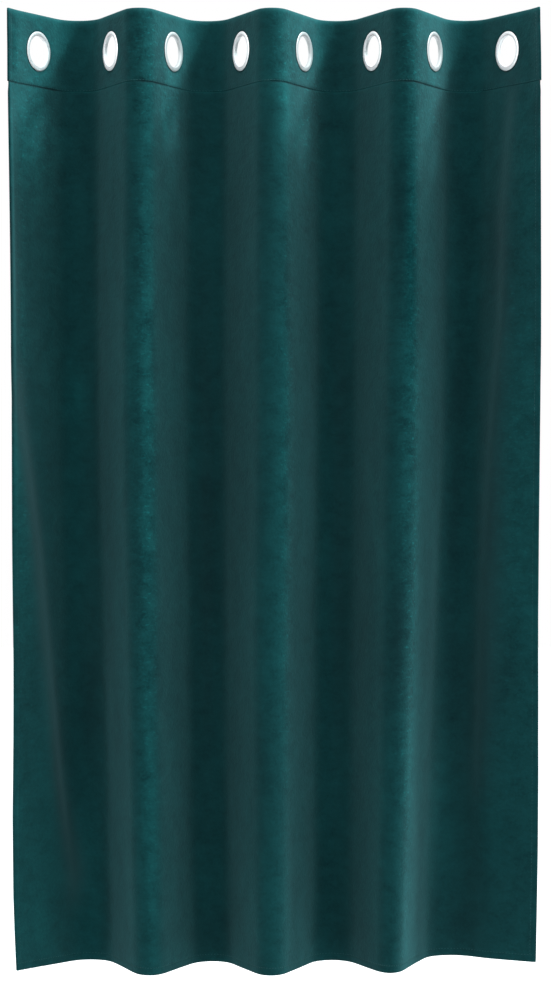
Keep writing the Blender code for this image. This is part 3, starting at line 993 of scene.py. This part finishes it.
velvet = {
    "crushed": (0.0073, 0.053, 0.059, 1),  # pile lying away
    "brushed": (0.0112, 0.087, 0.0935, 1),  # pile lying towards the eye
    "backing": (0.009, 0.046, 0.051, 1),  # the plain woven back
    "backingPale": (0.015, 0.071, 0.078, 1),
    "paintedSheenColour": (0.031, 0.078, 0.086, 1),  # painted sheen: the grey that flanks and creases show at grazing angles
    "paintedLightAndShade": (1.2, 2.0, 1.95, 1),  # times the colour where the painted light is full
    "strokeLean": 0.6,  # shares of the strokes and the grain in how the pile leans
    "grainLean": 0.6,
    "leanRange": (0.80, 1.40),  # their sum where the pile is crushed, and where it is brushed
    "patchiness": 0.6,  # how far slow patches lean the nap
    "paintedGlints": 0.9,  # how far the painted glints of single pile tips lift the colour in the sparkle strips
    "fleckRange": (0.59, 0.75),  # a noise under the first gives none, and over the second a full tip
    "roughness": 0.8,
    "sheen": 0.30,
    "sheenRoughness": 0.5,
    "sheenTint": (0.40, 0.92, 0.985, 1),
    "specular": 0.0,
    "bump": 0.45,
    "bumpDistance": 0.002,
    "strokeHeight": 0.5,
    "grainHeight": 0.6,
}

# The noises of the pile: (scale, detail, roughness, distortion, stretch across and up), each
# stretch under 1 making its marks longer that way.
pileNoises = {
    "Mottle": (30.0, 5.0, 0.62, 0.4, (1.0, 1.0)),  # slow crushed mottle, finer on the heading
    "Stroke": (95.0, 3.0, 0.55, 0.6, (0.55, 1.0)),  # short level strokes of the nap
    "Grain": (230.0, 2.0, 0.7, 0.0, (1.0, 1.0)),
    "Patch": (11.0, 3.0, 0.5, 0.3, (1.0, 0.45)),  # tall patches where the nap leans
    "Fleck": (250.0, 1.0, 0.5, 0.0, (0.42, 1.0)),  # single tips
}


# The pile of velvet: its noises, near 0.5 on average except the flecks, which are kept only where
# they are highest, and a height for a bump: the mottle plus shares of the stroke and the grain.
def makePileGroup():
    group = bpy.data.node_groups.new("velvetPile", "ShaderNodeTree")
    face = group.interface
    face.new_socket("Cloth Place", in_out="INPUT", socket_type="NodeSocketVector")
    for name, values in pileNoises.items():
        scale = face.new_socket(name + " Scale", in_out="INPUT", socket_type="NodeSocketFloat")
        scale.default_value = values[0]
        face.new_socket(name, in_out="OUTPUT", socket_type="NodeSocketFloat")
    face.new_socket("Height", in_out="OUTPUT", socket_type="NodeSocketFloat")
    given = addNode(group, "NodeGroupInput").outputs
    made = {}
    for name, (_, detail, roughness, distortion, stretch) in pileNoises.items():
        place = stretched(group, given["Cloth Place"], (*stretch, 1.0))
        values = {"Detail": detail, "Roughness": roughness, "Distortion": distortion}
        made[name] = noiseOf(group, place, Scale=given[name + " Scale"], **values)
    height = sumOf(group, "MULTIPLY_ADD", made["Stroke"], velvet["strokeHeight"], made["Mottle"])
    made["Height"] = sumOf(group, "MULTIPLY_ADD", made["Grain"], velvet["grainHeight"], height)
    made["Fleck"] = rangeOf(group, made["Fleck"], velvet["fleckRange"], (0, 1))
    feed(group, addNode(group, "NodeGroupOutput"), made)
    return group


# Velvet on the cloth's own map. The pile's lean carries the colour from crushed to brushed, more
# unevenly in the sparkle strips. Then the painted sheen, the painted light and shade with painted
# glints, and the back come over it.
def makeVelvet(name, pileGroup, mottleScale=pileNoises["Mottle"][0]):
    material, tree, shader = newMaterial(name)
    clothMap = addNode(tree, "ShaderNodeUVMap", uv_map="clothMap").outputs["UV"]
    inMetres = stretched(tree, clothMap, (mapWidth, mapWidth, mapWidth))
    pileNode = addNode(tree, "ShaderNodeGroup", node_tree=pileGroup)
    feed(tree, pileNode, {"Cloth Place": inMetres, "Mottle Scale": mottleScale})
    pile = pileNode.outputs

    lean = sumOf(tree, "MULTIPLY_ADD", pile["Stroke"], velvet["strokeLean"], pile["Mottle"])
    lean = sumOf(tree, "MULTIPLY_ADD", pile["Grain"], velvet["grainLean"], lean)
    lean = rangeOf(tree, lean, velvet["leanRange"], (-0.5, 0.5), clamp=False)
    # the sparkle strips, which strengthen the mottle and carry the painted glints
    wearAndSparkle = valueOf(tree, "pileSparkle")
    contrast = sumOf(tree, "ADD", wearAndSparkle, 1.0)
    lean = sumOf(tree, "MULTIPLY", lean, contrast)
    lean = sumOf(tree, "ADD", lean, 0.5)
    colour = mixOf(tree, lean, velvet["crushed"], velvet["brushed"])
    # painted sheen: the colour is greyed where the flanks and creases would catch it
    colour = mixOf(tree, valueOf(tree, "paintedSheen"), colour, velvet["paintedSheenColour"])

    # painted light and shade from the points' values, with slow random patches and painted glints
    lift = valueOf(tree, "paintedLightAndShade")
    lift = sumOf(tree, "MULTIPLY_ADD", pile["Patch"], velvet["patchiness"], lift)
    lift = sumOf(tree, "SUBTRACT", lift, velvet["patchiness"] / 2)
    # painted glints: pale flecks of single pile tips in the sparkle strips
    tips = sumOf(tree, "MULTIPLY", pile["Fleck"], wearAndSparkle)
    lift = sumOf(tree, "MULTIPLY_ADD", tips, velvet["paintedGlints"], lift)
    lift = mixOf(tree, lift, (1, 1, 1, 1), velvet["paintedLightAndShade"])
    front = mixOf(tree, 1.0, colour, lift, "MULTIPLY")
    back = mixOf(tree, pile["Grain"], velvet["backing"], velvet["backingPale"])
    shown = {
        "Base Color": mixOf(tree, valueOf(tree, "pileShare"), back, front),
        "Roughness": velvet["roughness"],
        "Sheen Weight": velvet["sheen"],
        "Sheen Roughness": velvet["sheenRoughness"],
        "Sheen Tint": velvet["sheenTint"],
        "Specular IOR Level": velvet["specular"],
        "Normal": bumpOf(tree, pile["Height"], velvet["bump"], velvet["bumpDistance"]),
    }
    feed(tree, shader, shown)
    return material


thread = {
    "colour": (0.010, 0.088, 0.095, 1),
    "pale": (0.017, 0.135, 0.145, 1),
    "fibreScale": 1400.0,
    "roughness": 0.55,
}


# Thread of the cloth's own colour, a little paler here and there.
def makeThread():
    material, tree, shader = newMaterial("stitchThread")
    place = addNode(tree, "ShaderNodeTexCoord").outputs["Object"]
    fibre = noiseOf(tree, place, Scale=thread["fibreScale"], Detail=2.0)
    colour = mixOf(tree, fibre, thread["colour"], thread["pale"])
    feed(tree, shader, {"Base Color": colour, "Roughness": thread["roughness"]})
    return material


metal = {
    "colour": (0.775, 0.81, 0.825, 1),
    "wearAndSparkle": (0.72, 0.745, 0.76, 1),
    "paintedSlopeShade": (0.64, 0.59, 0.61, 1),  # painted shade and reflection of the dark cloth on the slope round the bore
    "metallic": 0.85,
    "roughness": (0.60, 0.72),
    "cloudScale": 55.0,
    "cloudRange": (0.3, 0.7),
    "hairScale": 900.0,
    "bump": 0.05,
    "bumpDistance": 0.0002,
}


# Pale satin metal with a faint cloudiness and hairline marks, and painted shade on the slope round the
# bore.
def makeMetal():
    material, tree, shader = newMaterial("eyeletMetal")
    place = addNode(tree, "ShaderNodeTexCoord").outputs["Object"]
    cloud = noiseOf(tree, place, Scale=metal["cloudScale"], Detail=4.0, Roughness=0.6)
    hair = noiseOf(tree, place, Scale=metal["hairScale"], Detail=2.0, Distortion=1.5)
    colour = mixOf(tree, cloud, metal["colour"], metal["wearAndSparkle"])
    # painted shade on the slope round the bore
    slope = valueOf(tree, "paintedSlopeShade")
    shown = {
        "Base Color": mixOf(tree, slope, colour, metal["paintedSlopeShade"]),
        "Roughness": rangeOf(tree, cloud, metal["cloudRange"], metal["roughness"]),
        "Normal": bumpOf(tree, hair, metal["bump"], metal["bumpDistance"]),
        "Metallic": metal["metallic"],
    }
    feed(tree, shader, shown)
    return material


# Gives a piece its material and its body.
def finishPiece(piece, material):
    piece.data.materials.append(material)
    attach(piece, "root")
    print(piece.name + ":", len(piece.data.polygons), "faces")


pileGroup = makePileGroup()
eyeletMetal = makeMetal()

dropPiece = makeDrop()
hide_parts("drop")
finishPiece(dropPiece, makeVelvet("velvetCloth", pileGroup))

headingPiece = makeHeading()
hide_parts("heading")
finishPiece(headingPiece, makeVelvet("velvetBand", pileGroup, mottleScale=36.0))

for name, point, angle in zip(eyeletRows, eyeletPoints, eyeletAngles):
    ring = makeEyelet(name, point, angle)
    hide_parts(name)
    finishPiece(ring, eyeletMetal)

stitchPiece = makeStitches()
finishPiece(stitchPiece, makeThread())


studio = {
    "floorBelowHem": 0.25,
    "floorRadii": (0.001, 1.0, 3.0, 14.0),
    "floorSides": 96,
    "floorColour": (0.86, 0.87, 0.88, 1),
    "floorSeen": 0.9,
    "worldLight": 0.38,  # what the white room gives the cloth
    "worldSeen": 1.0,
    "viewDistance": 4.399,
    "viewHeight": -0.6842,
    "lens": 112.31,
    "sensorWidth": 36,
}

# The soft lights: (place, what it is aimed at, size, power in watts, colour).
toCloth, toEyelets = (0.0, 0.0, -0.6), (0.0, 0.0, -0.05)
white, cool = (1, 1, 1), (0.74, 1.0, 1.0)
softboxRows = {
    "frontRight": ((2.12, -2.12, -0.6), toCloth, (0.6, 0.6), 4.4, white),
    "upperRight": ((1.84, -1.06, 1.52), toCloth, (0.6, 0.6), 7.6, white),
    "upperFront": ((0.0, -1.5, 2.0), toCloth, (0.6, 0.6), 12.9, white),
    "sideRightLow": ((2.46, -0.09, 1.67), toEyelets, (0.35, 0.35), 7, cool),
    "sideRight": ((1.93, -0.07, 2.25), toEyelets, (0.35, 0.35), 33.3, cool),
    "sideRightHigh": ((1.50, -0.10, 2.00), toCloth, (0.6, 0.6), 29.7, cool),
    "mirroredCard": ((-2.5, -1.4, 0.95), toEyelets, (1.6, 2.0), 120, white),
}


# 1 where the camera or a mirror sees the room, and 0 where it only lights things.
def seenOrMirrored(tree):
    ray = addNode(tree, "ShaderNodeLightPath").outputs
    return sumOf(tree, "MAXIMUM", ray["Is Camera Ray"], ray["Is Glossy Ray"])


# A pale disc, which glows white only where it is seen or mirrored.
def makeFloor():
    height = -cloth["dropHeight"] - studio["floorBelowHem"]
    turn = np.linspace(0, 2 * np.pi, studio["floorSides"], endpoint=False)
    radii = np.array(studio["floorRadii"])[:, None]
    x, y = radii * np.cos(turn), radii * np.sin(turn)
    points = np.stack([x, y, np.full(x.shape, height)], axis=-1)
    floor = meshPiece("studioFloor", points.reshape(-1, 3), ringFaces(*x.shape))
    material, tree, shader = newMaterial("paleFloor")
    glow = rangeOf(tree, seenOrMirrored(tree), (0, 1), (0, studio["floorSeen"]))
    shown = {
        "Base Color": studio["floorColour"],
        "Roughness": 0.9,
        "Specular IOR Level": 0.1,
        "Emission Color": (1, 1, 1, 1),
        "Emission Strength": glow,
    }
    feed(tree, shader, shown)
    floor.data.materials.append(material)
    return floor


# A white room: seen and mirrored at full strength, and gentler on the cloth.
def makeRoomLight():
    world = bpy.data.worlds.new("studioRoom")
    world.use_nodes = True
    tree = world.node_tree
    toRange = (studio["worldLight"], studio["worldSeen"])
    strength = rangeOf(tree, seenOrMirrored(tree), (0, 1), toRange)
    feed(tree, tree.nodes["Background"], {"Color": (1, 1, 1, 1), "Strength": strength})
    bpy.context.scene.world = world


# A rectangular light, tilted and turned to face its aim.
def addSoftbox(name, place, aim, size, power, colour):
    light = bpy.data.lights.new(name, "AREA")
    light.shape = "RECTANGLE"
    light.size, light.size_y = size
    light.energy = power
    light.color = colour
    box = bpy.data.objects.new(name, light)
    bpy.context.collection.objects.link(box)
    step = np.array(aim) - np.array(place)
    box.location = place
    flat = math.hypot(step[0], step[1])
    box.rotation_euler = (math.atan2(flat, -step[2]), 0, math.atan2(-step[0], step[1]))
    return box


# The camera looks level at the cloth from straight in front.
def addCamera():
    camera = bpy.data.cameras.new("camera")
    camera.lens = studio["lens"]
    camera.sensor_width = studio["sensorWidth"]
    viewer = bpy.data.objects.new("camera", camera)
    bpy.context.collection.objects.link(viewer)
    viewer.location = (0, -studio["viewDistance"], studio["viewHeight"])
    viewer.rotation_euler = (math.pi / 2, 0, 0)
    bpy.context.scene.camera = viewer


makeFloor()
makeRoomLight()
softboxes = {name: addSoftbox(name, *row) for name, row in softboxRows.items()}
softboxes["mirroredCard"].visible_diffuse = False  # only the metal mirrors it
addCamera()
bpy.context.scene.view_settings.view_transform = "Standard"
print("studio ready")
